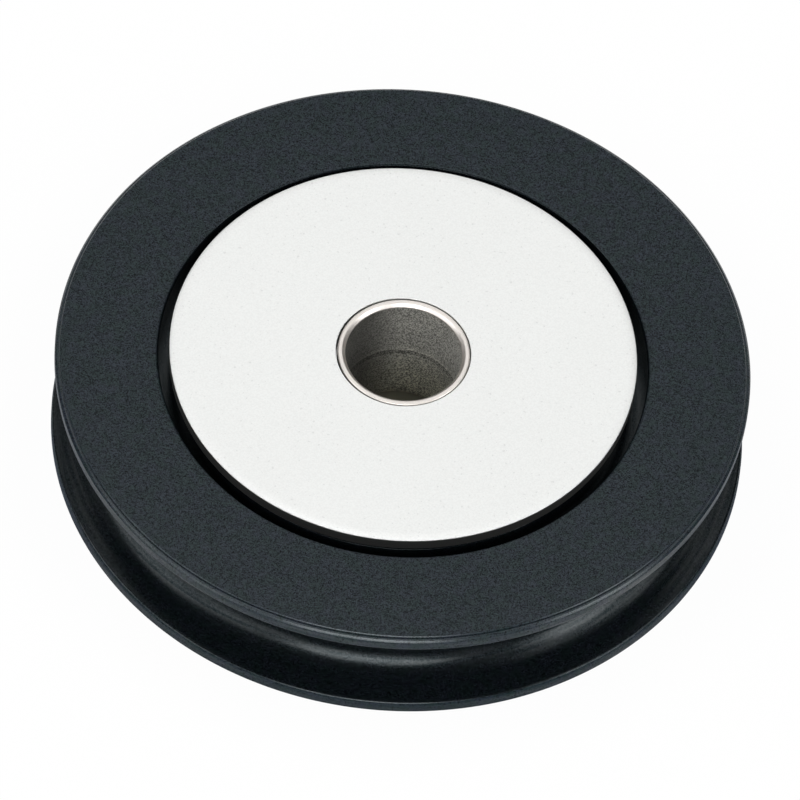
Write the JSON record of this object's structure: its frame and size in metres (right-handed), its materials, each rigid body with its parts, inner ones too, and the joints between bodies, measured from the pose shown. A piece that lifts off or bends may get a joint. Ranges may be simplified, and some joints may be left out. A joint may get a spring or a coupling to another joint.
{
  "type": "wire rope sheave",
  "caption": "Black anodised grooved wheel for wire rope that turns on a roller bearing, with steel side plates and a bushed pin bore.",
  "frame": {"origin": "centre of the pin bore, midway between the two side plates", "axes": "+Z along the bore and the wheel's axis of rotation; X and Y in the plane of the wheel, +X through the first roller"},
  "size_m": [0.0762, 0.0762, 0.016],
  "materials": {
    "black_anodised": "black hardcoat anodised, fine matt grain",
    "plate_steel": "satin stainless, nearly even",
    "bushing_steel": "fine turned stainless",
    "race_steel": "ground",
    "washer_polymer": "plain moulded",
    "cage_polymer": "plain moulded",
    "roller_polymer": "ground filled polymer"
  },
  "bodies": {
    "hub": {"bushing_upper": "bushing_steel", "bushing_lower": "bushing_steel", "inner_race": "race_steel", "side_plate_upper": "plate_steel", "side_plate_lower": "plate_steel", "thrust_washer_upper": "washer_polymer", "thrust_washer_lower": "washer_polymer"},
    "sheave": {"sheave": "black_anodised"},
    "cage": {"roller_cage": "cage_polymer"},
    "roller_01": {"roller_01": "roller_polymer"},
    "roller_02": {"roller_02": "roller_polymer"},
    "roller_03": {"roller_03": "roller_polymer"},
    "roller_04": {"roller_04": "roller_polymer"},
    "roller_05": {"roller_05": "roller_polymer"},
    "roller_06": {"roller_06": "roller_polymer"},
    "roller_07": {"roller_07": "roller_polymer"},
    "roller_08": {"roller_08": "roller_polymer"},
    "roller_09": {"roller_09": "roller_polymer"},
    "roller_10": {"roller_10": "roller_polymer"},
    "roller_11": {"roller_11": "roller_polymer"},
    "roller_12": {"roller_12": "roller_polymer"},
    "roller_13": {"roller_13": "roller_polymer"},
    "roller_14": {"roller_14": "roller_polymer"}
  },
  "joints": [
    {"name": "sheave_spin", "type": "hinge", "parent": "hub", "child": "sheave", "pos_m": [0, 0, 0], "axis": [0, 0, 1], "continuous": true},
    {"name": "cage_orbit", "type": "hinge", "parent": "hub", "child": "cage", "pos_m": [0, 0, 0], "axis": [0, 0, 1], "continuous": true},
    {"name": "roller_01_spin", "type": "hinge", "parent": "cage", "child": "roller_01", "pos_m": [0.01455, 0, 0], "axis": [0, 0, 1], "continuous": true},
    {"name": "roller_02_spin", "type": "hinge", "parent": "cage", "child": "roller_02", "pos_m": [0.01311, 0.00631, 0], "axis": [0, 0, 1], "continuous": true},
    {"name": "roller_03_spin", "type": "hinge", "parent": "cage", "child": "roller_03", "pos_m": [0.00907, 0.01138, 0], "axis": [0, 0, 1], "continuous": true},
    {"name": "roller_04_spin", "type": "hinge", "parent": "cage", "child": "roller_04", "pos_m": [0.00324, 0.01419, 0], "axis": [0, 0, 1], "continuous": true},
    {"name": "roller_05_spin", "type": "hinge", "parent": "cage", "child": "roller_05", "pos_m": [-0.00324, 0.01419, 0], "axis": [0, 0, 1], "continuous": true},
    {"name": "roller_06_spin", "type": "hinge", "parent": "cage", "child": "roller_06", "pos_m": [-0.00907, 0.01138, 0], "axis": [0, 0, 1], "continuous": true},
    {"name": "roller_07_spin", "type": "hinge", "parent": "cage", "child": "roller_07", "pos_m": [-0.01311, 0.00631, 0], "axis": [0, 0, 1], "continuous": true},
    {"name": "roller_08_spin", "type": "hinge", "parent": "cage", "child": "roller_08", "pos_m": [-0.01455, 0, 0], "axis": [0, 0, 1], "continuous": true},
    {"name": "roller_09_spin", "type": "hinge", "parent": "cage", "child": "roller_09", "pos_m": [-0.01311, -0.00631, 0], "axis": [0, 0, 1], "continuous": true},
    {"name": "roller_10_spin", "type": "hinge", "parent": "cage", "child": "roller_10", "pos_m": [-0.00907, -0.01138, 0], "axis": [0, 0, 1], "continuous": true},
    {"name": "roller_11_spin", "type": "hinge", "parent": "cage", "child": "roller_11", "pos_m": [-0.00324, -0.01419, 0], "axis": [0, 0, 1], "continuous": true},
    {"name": "roller_12_spin", "type": "hinge", "parent": "cage", "child": "roller_12", "pos_m": [0.00324, -0.01419, 0], "axis": [0, 0, 1], "continuous": true},
    {"name": "roller_13_spin", "type": "hinge", "parent": "cage", "child": "roller_13", "pos_m": [0.00907, -0.01138, 0], "axis": [0, 0, 1], "continuous": true},
    {"name": "roller_14_spin", "type": "hinge", "parent": "cage", "child": "roller_14", "pos_m": [0.01311, -0.00631, 0], "axis": [0, 0, 1], "continuous": true}
  ],
  "couplings": [
    {"joint": "cage_orbit", "follows": "sheave_spin", "ratio": 0.58591},
    {"joint": "roller_01_spin", "follows": "sheave_spin", "ratio": 2.8241},
    {"joint": "roller_02_spin", "follows": "sheave_spin", "ratio": 2.8241},
    {"joint": "roller_03_spin", "follows": "sheave_spin", "ratio": 2.8241},
    {"joint": "roller_04_spin", "follows": "sheave_spin", "ratio": 2.8241},
    {"joint": "roller_05_spin", "follows": "sheave_spin", "ratio": 2.8241},
    {"joint": "roller_06_spin", "follows": "sheave_spin", "ratio": 2.8241},
    {"joint": "roller_07_spin", "follows": "sheave_spin", "ratio": 2.8241},
    {"joint": "roller_08_spin", "follows": "sheave_spin", "ratio": 2.8241},
    {"joint": "roller_09_spin", "follows": "sheave_spin", "ratio": 2.8241},
    {"joint": "roller_10_spin", "follows": "sheave_spin", "ratio": 2.8241},
    {"joint": "roller_11_spin", "follows": "sheave_spin", "ratio": 2.8241},
    {"joint": "roller_12_spin", "follows": "sheave_spin", "ratio": 2.8241},
    {"joint": "roller_13_spin", "follows": "sheave_spin", "ratio": 2.8241},
    {"joint": "roller_14_spin", "follows": "sheave_spin", "ratio": 2.8241}
  ]
}
